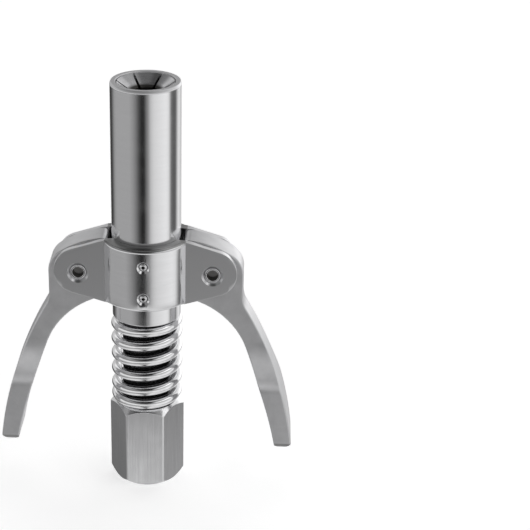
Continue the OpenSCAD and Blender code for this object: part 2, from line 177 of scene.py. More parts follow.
# Handling haze: soft patches of finger grease and wiped oil, which dull the polish
haze, haze_in, haze_out = new_group(
    "handling_haze",
    [("Place", "NodeSocketVector"), ("Polished", "NodeSocketFloat"), ("Hazed", "NodeSocketFloat")],
    [("Roughness", "NodeSocketFloat")],
)
patches = haze.nodes.new("ShaderNodeTexNoise")
patches.inputs["Scale"].default_value = 170
patches.inputs["Detail"].default_value = 5
patches.inputs["Distortion"].default_value = 0.6
spread = haze.nodes.new("ShaderNodeMapRange")
spread.inputs["From Min"].default_value = 0.35
spread.inputs["From Max"].default_value = 0.7
haze.links.new(haze_in.outputs["Place"], patches.inputs["Vector"])
haze.links.new(patches.outputs["Fac"], spread.inputs["Value"])
haze.links.new(haze_in.outputs["Polished"], spread.inputs["To Min"])
haze.links.new(haze_in.outputs["Hazed"], spread.inputs["To Max"])
haze.links.new(spread.outputs["Result"], haze_out.inputs["Roughness"])


def place_group(material, group):
    """A node group placed in a material."""
    node = material.node_tree.nodes.new("ShaderNodeGroup")
    node.node_tree = group
    return node


def metal(name, dark, light, polished, hazed, lines, relief):
    """Metal with tool marks in tone and relief, and handling haze in its roughness."""
    material = bpy.data.materials.new(name)
    material.use_nodes = True
    nodes = material.node_tree.nodes
    links = material.node_tree.links
    shader = nodes["Principled BSDF"]
    shader.inputs["Metallic"].default_value = 1
    place = nodes.new("ShaderNodeTexCoord")
    marks = place_group(material, tool_marks)
    marks.inputs["Lines"].default_value = lines
    wiped = place_group(material, haze)
    wiped.inputs["Polished"].default_value = polished
    wiped.inputs["Hazed"].default_value = hazed
    tone = nodes.new("ShaderNodeMix")
    tone.data_type = "RGBA"
    tone.inputs["A"].default_value = (*dark, 1)
    tone.inputs["B"].default_value = (*light, 1)
    bump = nodes.new("ShaderNodeBump")
    bump.inputs["Strength"].default_value = relief
    bump.inputs["Distance"].default_value = mark_height * MM
    links.new(place.outputs["Object"], marks.inputs["Place"])
    links.new(place.outputs["Object"], wiped.inputs["Place"])
    links.new(marks.outputs["Tone"], tone.inputs["Factor"])
    links.new(tone.outputs["Result"], shader.inputs["Base Color"])
    links.new(marks.outputs["Height"], bump.inputs["Height"])
    links.new(bump.outputs["Normal"], shader.inputs["Normal"])
    links.new(wiped.outputs["Roughness"], shader.inputs["Roughness"])
    return material


milled_plate = metal(
    "milled_plate", dark=(0.70, 0.70, 0.71), light=(0.80, 0.80, 0.81), polished=0.15, hazed=0.2,
    lines=(2600, 2600, 60), relief=0.25,
)
hex_high = box_mm("hex_body")[1]
hex_top = hex_high.z
sixth = math.pi / 3
flat_r = hex_high.x * math.cos(sixth / 2)
edge_r = 0.7
cone = math.tan(math.radians(42))
face_cut = 0.5
cone_r = flat_r - face_cut / cone
top_break = 0.12
cone_break = 0.3
foot_break = 0.15
port_r = 4.35
port_depth = 11
port_mouth = 0.7
thread_pitch = 0.9407
thread_depth = 0.5
thread_top = 9.8
stub_r = 4.98
stub_depth = 9.2
stub_floor = hex_top - stub_depth
passage_r = 1.3
flat_half = math.atan((flat_r - edge_r) * math.tan(sixth / 2) / flat_r)
edge_span = sixth - 2 * flat_half


def hex_reach(angle):
    """Distance of the rounded hexagon's outline from the axis."""
    from_flat = (angle + sixth / 2) % sixth - sixth / 2
    if abs(from_flat) <= flat_half:
        return flat_r / math.cos(from_flat)
    from_edge = sixth / 2 - abs(from_flat)
    edge_centre = (flat_r - edge_r) / math.cos(sixth / 2)
    return edge_centre * math.cos(from_edge) + math.sqrt(edge_r**2 - (edge_centre * math.sin(from_edge)) ** 2)


def thread_line(angle):
    """Tapped wall of the lower port, from its mouth to its floor."""
    steps = 9
    levels = int((thread_top - port_mouth) / thread_pitch * steps)
    line = []
    for k in range(levels + 1):
        z = port_mouth + thread_pitch * k / steps
        fade = min(1, (thread_top - z) / thread_pitch)
        crest = 0.5 - 0.5 * math.cos(math.tau * z / thread_pitch - angle)
        line.append(Vector((port_r + thread_depth * fade * crest, z)))
    return line


flat_steps = 4
round_steps = 8
hex_angles = []
for flat in range(6):
    middle = flat * sixth
    hex_angles += [middle + flat_half * k / flat_steps for k in range(-flat_steps, flat_steps + 1)]
    hex_angles += [middle + flat_half + edge_span * k / round_steps for k in range(1, round_steps)]
hex_loops = []
for angle in hex_angles:
    reach = hex_reach(angle)
    cut = (reach - cone_r) * cone
    outside = rounded([
        (stub_r, stub_floor, 0), (stub_r, hex_top, 0), (cone_r, hex_top, top_break),
        (reach, hex_top - cut, cone_break), (reach, cut, cone_break), (cone_r, 0, foot_break),
        (port_r + port_mouth, 0, 0),
    ])
    column = [Vector((passage_r, port_depth)), Vector((passage_r, stub_floor))] + outside
    column += thread_line(angle) + [Vector((port_r, port_depth))]
    hex_loops.append([swung(p, angle + sixth / 2) for p in column])
hex_bm = bmesh.new()
loft(hex_bm, hex_loops, around=True, along=True)
dress(solid("hex_body_plated", hex_bm), milled_plate, "core", "hex_body")

# Stem, nose tube and check ball: turned from steel bar, the core that the sleeve slides on. All
# three are coloured near black, a painted shade that keeps the gaps between the spring's coils dark.
# The solids of the frame are true to them, so they only take their finish.
# Painted shade: near-black core steel, which darkens the gaps between the spring's coils.
core_shade_steel = metal(
    "core_shade_steel", dark=(0.10, 0.10, 0.103), light=(0.14, 0.14, 0.143), polished=0.22, hazed=0.3,
    lines=(90, 90, 3200), relief=0.2,
)


def finish_only(node, material):
    """Finish of a frame node whose own solid stays."""
    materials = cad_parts[node].data.materials
    materials.clear()
    materials.append(material)


for node in ("stem", "nose_tube", "check_ball"):
    finish_only(node, core_shade_steel)

# Return spring: round bright wire, coiled right-handed with closed ends, between the hex body
# and the sleeve.
bright_wire = metal(
    "bright_wire", dark=(0.78, 0.78, 0.79), light=(0.90, 0.90, 0.91), polished=0.07, hazed=0.14,
    lines=(500, 500, 500), relief=0.05,
)


def coil(base, height, mean_r, wire_r, turns, start):
    """Round wire coiled upwards, with the pitch eased to nothing at both closed ends."""
    ease = 0.75
    pitch = (height - 2 * wire_r) / (turns - ease)
    steps_per_turn = 44
    steps = round(turns * steps_per_turn)
    sides = 20
    ring = [math.tau * k / sides for k in range(sides)]
    section = [Vector((mean_r + wire_r * math.cos(a), wire_r * math.sin(a))) for a in ring]
    loops = []
    for i in range(steps + 1):
        turn = turns * i / steps
        left = min(turn, turns - turn)
        climb = left - ease / 2 if left >= ease else left**2 / (2 * ease)
        rise = climb if turn < turns / 2 else turns - ease - climb
        lift = Vector((0, 0, base + wire_r + pitch * rise))
        loops.append([swung(p, start + math.tau * turn) + lift for p in section])
    bm = bmesh.new()
    rows = loft(bm, loops, around=True)
    bm.faces.new(rows[0])
    bm.faces.new(rows[-1])
    return bm


wire_sharp = 60
spring_low, spring_high = box_mm("return_spring")
spring_span = spring_high.z - spring_low.z
spring_wire_r = 1.25
spring_mean_r = spring_high.x - spring_wire_r
spring_turns = 5.75
spring_start = math.radians(150)
spring_bm = coil(spring_low.z, spring_span, spring_mean_r, spring_wire_r, spring_turns, spring_start)
return_spring = dress(
    solid("return_spring_wire", spring_bm), bright_wire, "core", "return_spring", wire_sharp
)
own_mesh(return_spring)

# Check spring: fine wire that holds the check ball on its seat, under the nose tube.
check_low, check_high = box_mm("check_spring")
check_span = check_high.z - check_low.z
check_wire_r = 0.25
check_mean_r = 1.6
check_turns = 8
check_bm = coil(check_low.z, check_span, check_mean_r, check_wire_r, check_turns, start=0)
check_spring = dress(
    solid("check_spring_wire", check_bm), bright_wire, "core", "check_spring", wire_sharp
)
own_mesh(check_spring)

# Nipple seal and jaw ring: a moulded rubber ring that meets the nipple's head, and a split ring
# of spring wire that spreads the jaws. Both lie deep in the mouth.
nitrile = bpy.data.materials.new("nitrile")
nitrile.use_nodes = True
rubber_nodes = nitrile.node_tree.nodes
rubber_links = nitrile.node_tree.links
rubber = rubber_nodes["Principled BSDF"]
rubber_place = rubber_nodes.new("ShaderNodeTexCoord")
rubber_grain = rubber_nodes.new("ShaderNodeTexNoise")
rubber_grain.inputs["Scale"].default_value = 2500
rubber_tone = rubber_nodes.new("ShaderNodeMix")
rubber_tone.data_type = "RGBA"
rubber_tone.inputs["A"].default_value = (0.012, 0.012, 0.013, 1)
rubber_tone.inputs["B"].default_value = (0.035, 0.034, 0.034, 1)
rubber_wipe = place_group(nitrile, haze)
rubber_wipe.inputs["Polished"].default_value = 0.42
rubber_wipe.inputs["Hazed"].default_value = 0.62
rubber_links.new(rubber_place.outputs["Object"], rubber_grain.inputs["Vector"])
rubber_links.new(rubber_place.outputs["Object"], rubber_wipe.inputs["Place"])
rubber_links.new(rubber_grain.outputs["Fac"], rubber_tone.inputs["Factor"])
rubber_links.new(rubber_tone.outputs["Result"], rubber.inputs["Base Color"])
rubber_links.new(rubber_wipe.outputs["Roughness"], rubber.inputs["Roughness"])
finish_only("nipple_seal", nitrile)
finish_only("jaw_spring_ring", bright_wire)

# Jaws: a hardened steel collet, ground to a funnel and sawn into six, each hooked by its foot
# in the stem's groove and closed by the sleeve's seat. The throat and all below it are painted
# dark, a painted shade deep in the mouth.
jaw_steel = metal(
    "jaw_steel", dark=(0.43, 0.43, 0.44), light=(0.50, 0.50, 0.51), polished=0.16, hazed=0.24,
    lines=(160, 160, 2600), relief=0.1,
)

# Reach: how far a place lies from the middle along an axis, as a share between two distances
reach_share, reach_in, reach_out = new_group(
    "reach_share",
    [
        ("Place", "NodeSocketVector"), ("Axis", "NodeSocketVector"),
        ("Start", "NodeSocketFloat"), ("End", "NodeSocketFloat"),
    ],
    [("Share", "NodeSocketFloat")],
)
project = reach_share.nodes.new("ShaderNodeVectorMath")
project.operation = "DOT_PRODUCT"
distance = reach_share.nodes.new("ShaderNodeMath")
distance.operation = "ABSOLUTE"
between = reach_share.nodes.new("ShaderNodeMapRange")
reach_share.links.new(reach_in.outputs["Place"], project.inputs[0])
reach_share.links.new(reach_in.outputs["Axis"], project.inputs[1])
reach_share.links.new(project.outputs["Value"], distance.inputs[0])
reach_share.links.new(distance.outputs["Value"], between.inputs["Value"])
reach_share.links.new(reach_in.outputs["Start"], between.inputs["From Min"])
reach_share.links.new(reach_in.outputs["End"], between.inputs["From Max"])
reach_share.links.new(between.outputs["Result"], reach_out.inputs["Share"])


def refinish(material, axis, start, end, colour, roughness):
    """Another colour and roughness, blended in between two distances from the middle in millimetres."""
    tree = material.node_tree
    shader = tree.nodes["Principled BSDF"]
    place = tree.nodes.new("ShaderNodeTexCoord")
    reach = place_group(material, reach_share)
    reach.inputs["Axis"].default_value = axis
    reach.inputs["Start"].default_value = start * MM
    reach.inputs["End"].default_value = end * MM
    tree.links.new(place.outputs["Object"], reach.inputs["Place"])
    for socket, kind, value in (("Base Color", "RGBA", (*colour, 1)), ("Roughness", "FLOAT", roughness)):
        blend = tree.nodes.new("ShaderNodeMix")
        blend.data_type = kind
        blend.inputs["B"].default_value = value
        tree.links.new(reach.outputs["Share"], blend.inputs["Factor"])
        tree.links.new(shader.inputs[socket].links[0].from_socket, blend.inputs["A"])
        tree.links.new(blend.outputs["Result"], shader.inputs[socket])


jaw_low, jaw_high = box_mm("jaw_1")
jaw_count = 6
jaw_share = math.tau / jaw_count
jaw_columns = 12
slit_half = 0.3
slit_break = 0.06
jaw_top_r = 6.81
funnel_r = 6.61
funnel_angle = math.radians(54)
throat_r = 3.2
throat_h = 1.4
throat_top = jaw_high.z - (funnel_r - throat_r) / math.tan(funnel_angle)
throat_low = throat_top - throat_h
throat_round = 0.35
cavity_r = 4.3
hook_r = 4.4
foot_r = 6.4
foot_h = 2.6
foot_top = jaw_low.z + foot_h
step_h = 4
step_z = jaw_low.z + step_h
step_run = 1.2
cavity_step = 1.4
arm_in_step = 0.4
arm_in_r = 5.35
arm_r = 5.5
arm_fillet = 0.4
seat_h = 4
seat_low = jaw_high.z - seat_h
seat_low_r = 6.05
seat_run = 1.8
jaw_break = 0.2
jaw_fillet = 0.3
ground_break = 0.08
painted_hollow_shade = (0.055, 0.053, 0.05)
hollow_shade_roughness = 0.5
throat_shade_start = throat_top + 0.8
throat_shade_full = throat_top + 0.35
# Painted shade: the jaws are coloured dark from just above the throat downwards, deep in the mouth.
refinish(jaw_steel, (0, 0, 1), throat_shade_start, throat_shade_full, painted_hollow_shade, hollow_shade_roughness)
jaw_line = rounded([
    (hook_r, jaw_low.z, 0), (foot_r, jaw_low.z, jaw_break), (foot_r, step_z, jaw_fillet),
    (arm_r, step_z + step_run, jaw_fillet), (arm_r, seat_low - seat_run, arm_fillet),
    (seat_low_r, seat_low, jaw_break), (jaw_top_r, jaw_high.z, ground_break),
    (funnel_r, jaw_high.z, ground_break), (throat_r, throat_top, throat_round),
    (throat_r, throat_low, jaw_break), (cavity_r, throat_low - cavity_r + throat_r, jaw_fillet),
    (cavity_r, step_z + cavity_step, jaw_fillet), (arm_in_r, step_z + arm_in_step, jaw_break),
    (arm_in_r, foot_top, 0), (hook_r, foot_top, 0),
])
for number in range(1, jaw_count + 1):
    jaw_bm = bmesh.new()
    middle = jaw_share * (number - 0.5)
    loops = []
    for i in range(jaw_columns + 1):
        share = 2 * i / jaw_columns - 1
        turns = [middle + share * (jaw_share / 2 - math.asin(slit_half / p.x)) for p in jaw_line]
        loops.append([swung(p, a) for p, a in zip(jaw_line, turns)])
    rows = loft(jaw_bm, loops, around=True)
    sawn = [jaw_bm.faces.new(rows[0]), jaw_bm.faces.new(rows[-1])]
    rim = [edge for face in sawn for edge in face.edges]
    bmesh.ops.bevel(jaw_bm, geom=rim, offset=slit_break, segments=2, profile=0.5, affect="EDGES")
    dress(solid(f"jaw_{number}_ground", jaw_bm), jaw_steel, f"jaw_{number}", f"jaw_{number}")

# Outer sleeve: turned tube, polished and nickel plated, with a conical jaw seat in its mouth,
# a window on each side for the lever fingers and the drillings for the bracket's pins.
# The mouth's rim keeps the dull face that the turning tool left, and its colour is painted darker:
# a painted shade that damps the highlight on its bevel.
polished_nickel = metal(
    "polished_nickel", dark=(0.77, 0.77, 0.78), light=(0.80, 0.80, 0.81), polished=0.1, hazed=0.15,
    lines=(140, 140, 2400), relief=0.02,
)


def carve(piece, bm, operation="DIFFERENCE"):
    """Boolean of a piece with a solid drawn in millimetres, which isn't kept."""
    tool = solid("tool", bm)
    step = piece.modifiers.new("carve", "BOOLEAN")
    step.operation = operation
    step.solver = "EXACT"
    step.object = tool
    whole = piece.data
    piece.data = bpy.data.meshes.new_from_object(piece.evaluated_get(bpy.context.evaluated_depsgraph_get()))
    piece.modifiers.remove(step)
    bpy.data.meshes.remove(whole)
    bpy.data.objects.remove(tool)


def block(low, high):
    """Box between two corners, as a cutting tool."""
    bm = bmesh.new()
    size = Vector(high) - Vector(low)
    middle = (Vector(high) + Vector(low)) / 2
    bmesh.ops.create_cube(bm, size=1, matrix=Matrix.Translation(middle) @ Matrix.Diagonal((*size, 1)))
    return bm


def drill(radius, half, columns):
    """Round bar about Z, half above and half below the middle, as a cutting tool."""
    line = [Vector((0, -half)), Vector((radius, -half)), Vector((radius, half)), Vector((0, half))]
    return turned(line, columns)


def along_y(bm, x, z, side=-1):
    """Turn a mesh of revolution from Z to the Y axis, outward on the given side, at a place in XZ."""
    flip = Matrix.Rotation(math.pi / 2 if side < 0 else -math.pi / 2, 4, "X")
    bmesh.ops.transform(bm, matrix=Matrix.Translation((x, 0, z)) @ flip, verts=bm.verts)
    return bm


def middle_z(node):
    """Height of a frame node's middle, in millimetres."""
    low, high = box_mm(node)
    return (low.z + high.z) / 2


sleeve_low, sleeve_high = box_mm("outer_sleeve")
sleeve_r = sleeve_high.x
sleeve_bore_r = 6.9
seat_r = 6.95
seat_depth = 4
seat_z = sleeve_high.z - seat_depth
seat_break = 0.18
land_r = 6.2
land_h = 3.1
land_z = seat_z - land_h
land_round = 0.3
land_break = 0.15
foot_round = 0.35
rim_drop = 0.6
rim_step = 0.23
rim_round = 0.6
rim_break = 0.15
rim_painted_shade = (0.62, 0.62, 0.63)
rim_shade_start = sleeve_high.z - 0.9
rim_shade_full = sleeve_high.z - 0.5
# Painted shade: the rim's colour is darker than the plating, to damp the highlight on its bevel.
refinish(polished_nickel, (0, 0, 1), rim_shade_start, rim_shade_full, rim_painted_shade, roughness=0.34)
sleeve_columns = 144
sleeve_line = rounded([
    (sleeve_bore_r, sleeve_low.z, 0), (sleeve_r, sleeve_low.z, foot_round),
    (sleeve_r, sleeve_high.z - rim_drop, rim_round), (sleeve_r - rim_step, sleeve_high.z, rim_break),
    (seat_r, sleeve_high.z, seat_break), (land_r, seat_z, land_round), (land_r, land_z, land_break),
    (sleeve_bore_r, land_z, 0),
], steps=5)
outer_sleeve = solid("outer_sleeve_polished", turned(sleeve_line, sleeve_columns))
tool_clear = 2
tool_reach = sleeve_r + tool_clear
window_half = 3.2
window_low = 54.8
window_high = 62.9
carve(outer_sleeve, block((-tool_reach, -window_half, window_low), (tool_reach, window_half, window_high)))
pin_low_z = middle_z("collar_pin_front_lower")
pin_high_z = middle_z("collar_pin_front_upper")
pin_hole_r = 0.98
pin_hole_columns = 32
for z in (pin_low_z, pin_high_z):
    carve(outer_sleeve, along_y(drill(pin_hole_r, tool_reach, pin_hole_columns), 0, z))
dress(outer_sleeve, polished_nickel, "sleeve", "outer_sleeve")

# Brackets: two pressed steel halves that clasp the sleeve, each with an ear on both sides for the
# levers. The shell is polished with the sleeve, and its upper rim is rougher and coloured dark:
# grime in the joint with the sleeve and painted shadow of that gap. The ears stay satin from the press.
pressed_plate = metal(
    "pressed_plate", dark=(0.75, 0.75, 0.76), light=(0.79, 0.79, 0.80), polished=0.1, hazed=0.15,
    lines=(140, 140, 2400), relief=0.02,
)
bracket_low, bracket_high = box_mm("bracket_front")
plate_t = 1.6
shell_r = -bracket_low.y
shell_gap = 0.03
shell_in_r = sleeve_r + shell_gap
ear_in = -bracket_high.y
ear_out = ear_in + plate_t
ear_r = 5.8
pivot_x = bracket_high.x - ear_r
pivot_z = middle_z("pivot_pin_right")
ear_lift = 0.5
ear_centre = Vector((pivot_x, pivot_z + ear_lift))
ear_root = math.sqrt(shell_r**2 - ear_out**2)
shell_root = math.sqrt(shell_in_r**2 - ear_in**2)
bracket_edge = 0.1
shell_edge = 0.95
shell_edge_hold = 12
shell_rim_grime_and_shadow = (0.27, 0.27, 0.27)
shell_rim_grime_shadow_start = bracket_high.z - 0.8
shell_rim_grime_shadow_full = bracket_high.z - 0.1
satin_grey = (0.66, 0.66, 0.67)
satin_blend = 0.05
# Partly painted shadow: the shell's upper rim is coloured dark, for grime and the shadow in its joint with
# the sleeve.
refinish(pressed_plate, (0, 0, 1), shell_rim_grime_shadow_start, shell_rim_grime_shadow_full, shell_rim_grime_and_shadow, roughness=0.3)
refinish(pressed_plate, (1, 0, 0), ear_root - satin_blend, ear_root + satin_blend, satin_grey, roughness=0.28)


def edge_steps(depth, outer_edge, inner_edge, steps=4):
    """Cross-section of a plate's rounded edge, from one face to the other, as (inset, depth)."""
    quarter = [math.pi / 2 * k / steps for k in range(steps + 1)]
    curve = [(1 - math.sin(a), 1 - math.cos(a)) for a in quarter]
    near = [(outer_edge * inset, outer_edge * drop) for inset, drop in curve]
    far = [(inner_edge * inset, depth - inner_edge * drop) for inset, drop in reversed(curve)]
    return near + far


def polar(centre, radius, angle):
    """Point on a circle in XZ."""
    return centre + radius * Vector((math.cos(angle), math.sin(angle)))


def tangent_angle(point, centre, radius, side):
    """Angle on a circle at which the tangent from an outside point touches it."""
    away = point - centre
    return math.atan2(away.y, away.x) + side * math.acos(radius / away.length)


# Each column of the plate: its low and high ends in XZ and their inward directions; a column of the
# shell begins with its outer and inner place in plan and ends with the rounding of its outer edge
upward = Vector((0, 1))
shell_steps = 15
shell_columns = []
for i in range(-shell_steps, shell_steps + 1):
    share = i / shell_steps
    outer_a = share * math.asin(ear_root / shell_r)
    inner_a = share * math.asin(shell_root / shell_in_r)
    outer = Vector((shell_r * math.sin(outer_a), -shell_r * math.cos(outer_a)))
    inner = Vector((shell_in_r * math.sin(inner_a), -shell_in_r * math.cos(inner_a)))
    low = Vector((outer.x, bracket_low.z))
    high = Vector((outer.x, bracket_high.z))
    edge = bracket_edge + (shell_edge - bracket_edge) * (1 - share**shell_edge_hold)
    shell_columns.append((outer, inner, low, high, upward, -upward, edge))
root_low = Vector((ear_root, bracket_low.z))
root_high = Vector((ear_root, bracket_high.z))
ear_low_a = tangent_angle(root_low, ear_centre, ear_r, 1)
ear_high_a = tangent_angle(root_high, ear_centre, ear_r, -1)
ear_low_touch = polar(ear_centre, ear_r, ear_low_a)
ear_high_touch = polar(ear_centre, ear_r, ear_high_a)
ear_low_in = (ear_centre - ear_low_touch).normalized()
ear_high_in = (ear_centre - ear_high_touch).normalized()
neck_steps = 7
lobe_steps = 16
ear_columns = []
for k in range(1, neck_steps):
    low = root_low.lerp(ear_low_touch, k / neck_steps)
    high = root_high.lerp(ear_high_touch, k / neck_steps)
    ear_columns.append((low, high, ear_low_in, ear_high_in))
for k in range(lobe_steps + 1):
    low = polar(ear_centre, ear_r, ear_low_a * (1 - k / lobe_steps))
    high = polar(ear_centre, ear_r, ear_high_a * (1 - k / lobe_steps))
    ear_columns.append((low, high, (ear_centre - low).normalized(), (ear_centre - high).normalized()))


def plate_loop(outer, inner, low, high, low_in, high_in, edge=bracket_edge, rows=6):
    """Closed loop round the plate at one column."""
    section = edge_steps(1, edge / plate_t, bracket_edge / plate_t)

    def spot(end, inward, inset, into):
        at = outer.lerp(inner, into)
        moved = end + inward * inset * plate_t
        return Vector((at.x + moved.x - outer.x, at.y, moved.y))

    first, last = section[0], section[-1]
    loop = []
    for j in range(1, rows):
        loop.append(spot(low, low_in, *first).lerp(spot(high, high_in, *first), j / rows))
    loop += [spot(high, high_in, *step) for step in section]
    for j in range(1, rows):
        loop.append(spot(high, high_in, *last).lerp(spot(low, low_in, *last), j / rows))
    loop += [spot(low, low_in, *step) for step in reversed(section)]
    return loop


def ear_loop(low, high, low_in, high_in, side):
    """Loop of the plate at one column of an ear, mirrored for the left side."""
    loop = plate_loop(Vector((low.x, -ear_out)), Vector((low.x, -ear_in)), low, high, low_in, high_in)
    return [Vector((side * p.x, p.y, p.z)) for p in loop]


def sink(pin_r, mouth_r, surface, depth):
    """Tool for a drilled hole with a countersink whose mouth lies at the given distance from the axis."""
    over = 1.0
    columns = 48
    slope = (mouth_r - pin_r) / depth
    line = [Vector((0, 0)), Vector((pin_r, 0)), Vector((pin_r, surface - depth))]
    line += [Vector((mouth_r + slope * over, surface + over)), Vector((0, surface + over))]
    return turned(line, columns)


pivot_hole_r = 1.98
pivot_sink_r = 2.6
pivot_sink_h = 0.65
collar_sink_r = 1.6
collar_sink_h = 0.55
for node, side in (("bracket_front", -1), ("bracket_rear", 1)):
    bracket_bm = bmesh.new()
    loops = [ear_loop(*column, -1) for column in reversed(ear_columns)]
    loops += [plate_loop(*column) for column in shell_columns]
    loops += [ear_loop(*column, 1) for column in ear_columns]
    loft(bracket_bm, loops, around=True)
    if side > 0:
        bmesh.ops.scale(bracket_bm, vec=(1, -1, 1), verts=bracket_bm.verts)
    bracket = solid(f"{node}_pressed", bracket_bm)
    for x in (-pivot_x, pivot_x):
        carve(bracket, along_y(sink(pivot_hole_r, pivot_sink_r, ear_out, pivot_sink_h), x, pivot_z, side))
    for z in (pin_low_z, pin_high_z):
        carve(bracket, along_y(sink(pin_hole_r, collar_sink_r, shell_r, collar_sink_h), 0, z, side))
    dress(bracket, pressed_plate, "sleeve", node)

# Collar pins: hard pins driven through the shell into the sleeve, two in front and two behind,
# with a domed end and a centre mark from the punch; the mark and the pin's edge in the countersink
# are painted dark, a painted shade.
ground_finish = {
    "dark": (0.58, 0.58, 0.59), "light": (0.70, 0.70, 0.71), "polished": 0.16, "hazed": 0.28,
    "lines": (1800, 1800, 1800), "relief": 0.12,
}
punched_steel = metal("punched_steel", **ground_finish)
collar_pin_r = 0.95
collar_pin_foot = 6.98
collar_pin_sunk = 0.1
collar_pin_top = shell_r - collar_pin_sunk
collar_pin_columns = 40
dome_h = 0.3
dome_round = 0.2
dimple_r = 0.36
dimple_depth = 0.8
dimple_floor = collar_pin_top - dimple_depth
dimple_break = 0.12
dimple_shade_start = collar_pin_top - 0.3
dimple_shade_full = collar_pin_top - 0.4
# Painted shade: the pin is coloured dark deeper than its dome, in the punch mark and round its edge in the
# countersink.
refinish(punched_steel, (0, 1, 0), dimple_shade_start, dimple_shade_full, painted_hollow_shade, hollow_shade_roughness)
collar_pin_line = rounded([
    (0, collar_pin_foot, 0), (collar_pin_r, collar_pin_foot, 0),
    (collar_pin_r, collar_pin_top - dome_h, dome_round), (dimple_r, collar_pin_top, dimple_break),
    (dimple_r, dimple_floor, 0), (0, dimple_floor, 0),
])
for place, side in (("front", -1), ("rear", 1)):
    for end, z in (("upper", pin_high_z), ("lower", pin_low_z)):
        node = f"collar_pin_{place}_{end}"
        pin_bm = along_y(turned(collar_pin_line, collar_pin_columns), 0, z, side)
        dress(solid(f"{node}_domed", pin_bm), punched_steel, "sleeve", node)

# Pivot pins: ground pins across both ears, tubular at the ends, which are spread into the
# countersinks so that the pin can't turn or fall out. The hollows are painted dark, a painted shade.
spread_steel = metal("spread_steel", **ground_finish)
pivot_pin_r = 1.95
pivot_pin_columns = 56
pivot_sunk = 0.35
pivot_half = ear_out - pivot_sunk
spread_round = 0.22
recess_r = 1.35
recess_depth = 2.2
recess_floor = pivot_half - recess_depth
recess_round = 0.25
recess_break = 0.12
pivot_hollow_shade = (0.27, 0.265, 0.26)
pivot_hollow_shade_start = pivot_half - 0.15
pivot_hollow_shade_full = pivot_half - 0.4
# Painted shade: the pin's tubular ends are coloured dark grey deeper than their mouths.
refinish(spread_steel, (0, 1, 0), pivot_hollow_shade_start, pivot_hollow_shade_full, pivot_hollow_shade, roughness=0.55)
pivot_end = [
    (0, recess_floor, 0), (recess_r, recess_floor, recess_round), (recess_r, pivot_half, recess_break),
    (pivot_pin_r, pivot_half, spread_round),
]
pivot_line = rounded([(r, -along, fillet) for r, along, fillet in pivot_end] + pivot_end[::-1])
for place, side in (("left", -1), ("right", 1)):
    node = f"pivot_pin_{place}"
    pivot_bm = along_y(turned(pivot_line, pivot_pin_columns), side * pivot_x, pivot_z)
    dress(solid(f"{node}_spread", pivot_bm), spread_steel, "sleeve", node)

# Levers: zinc-alloy castings, tumbled and plated in satin nickel, with a painted dark reflection at the ends
# of the tips.
# The hub sits between the ears, a finger on its inner side reaches into the stem's groove, and the
# grip flares wider below.
satin_nickel = metal(
    "satin_nickel", dark=(0.57, 0.57, 0.58), light=(0.63, 0.63, 0.64), polished=0.33, hazed=0.4,
    lines=(420, 420, 420), relief=0.15,
)
lever_t = 6.8
lever_edge = 0.35
lever_edge_most = 0.45
grip_t = 12.0
flare_top = -18.0
flare_h = 12.6
flare_knee = 0.78
lever_foot = -46.0
lever_spread = 20.0
tip_w = 3.8
tip_swell = 0.35
tip_zone = 12.0
tip_round = 2.9
tip_lean = 0.6
tip_centre = Vector((lever_spread - tip_lean * (tip_w + tip_swell), lever_foot + tip_round))
tip_painted_reflection = (0.34, 0.34, 0.34)
tip_reflection_start = pivot_z + lever_foot + 1.65
tip_reflection_full = pivot_z + lever_foot + 1.25
# Painted reflection: the rounded ends of the tips are coloured dark grey, for the dark they mirror from
# below.
refinish(satin_nickel, (0, 0, 1), tip_reflection_start, tip_reflection_full, tip_painted_reflection, roughness=0.4)
end_r = 1.6
back_r = 90.0
back_lean = math.radians(5.5)
palm_r = 216.0
palm_lean = math.radians(13.3)
arch_r = 20.2
arch_a = math.radians(20.7)
crown_r = 25.4
crown_x = -9.1
crown_top = 8.6
hub_reach = 7.3
corner_r = 5.8
corner_x = hub_reach - corner_r
nose_r = 1.5
nose_gap = 0.7
nose_x = sleeve_r + nose_gap - pivot_x
nose_low = 2
heel_cut = 2
heel_x = nose_x + heel_cut
heel_z = -2.2
waist_r = 6.2
waist_x = hub_reach + waist_r


def bearing(centre, point):
    """Angle of a point as seen from a circle's centre."""
    return math.atan2(point.y - centre.y, point.x - centre.x)


def top_at(centre, radius, x):
    """Upper side of a circle at a place across."""
    return centre.y + math.sqrt(radius**2 - (x - centre.x) ** 2)


def side_at(centre, radius, z):
    """Right-hand side of a circle at a height."""
    return centre.x + math.sqrt(radius**2 - (z - centre.y) ** 2)


# Centres of the arcs that make up the outline; the palm's arc runs on into the arch
back_c = polar(Vector((lever_spread, lever_foot)), -back_r, back_lean)
palm_c = polar(Vector((lever_spread - tip_w, lever_foot)), -palm_r, palm_lean)
arch_c = polar(palm_c, palm_r - arch_r, arch_a)
arch_low = polar(palm_c, palm_r, arch_a).y
arch_end = Vector((heel_x, top_at(arch_c, arch_r, heel_x)))
crown_c = Vector((crown_x, crown_top - crown_r))
corner_c = Vector((corner_x, top_at(crown_c, crown_r - corner_r, corner_x)))
nose_c = Vector((nose_x + nose_r, top_at(crown_c, crown_r - nose_r, nose_x + nose_r)))
waist_c = Vector((waist_x, top_at(back_c, back_r + waist_r, waist_x)))
waist_end = back_c + (waist_c - back_c).normalized() * back_r


def arm_sides(z):
    """Inner and outer edge of the lever's arm at a height, closed in by the rounded tip."""
    inner = side_at(arch_c, arch_r, z) if z > arch_low else side_at(palm_c, palm_r, z)
    inner -= tip_swell * max(0, 1 - (z - lever_foot) / tip_zone) ** 2
    outer = side_at(back_c, back_r, z)
    if z < tip_centre.y:
        half = math.sqrt(max(0, tip_round**2 - (z - tip_centre.y) ** 2))
        inner = max(inner, tip_centre.x - half)
        outer = min(outer, tip_centre.x + half)
    return inner, outer


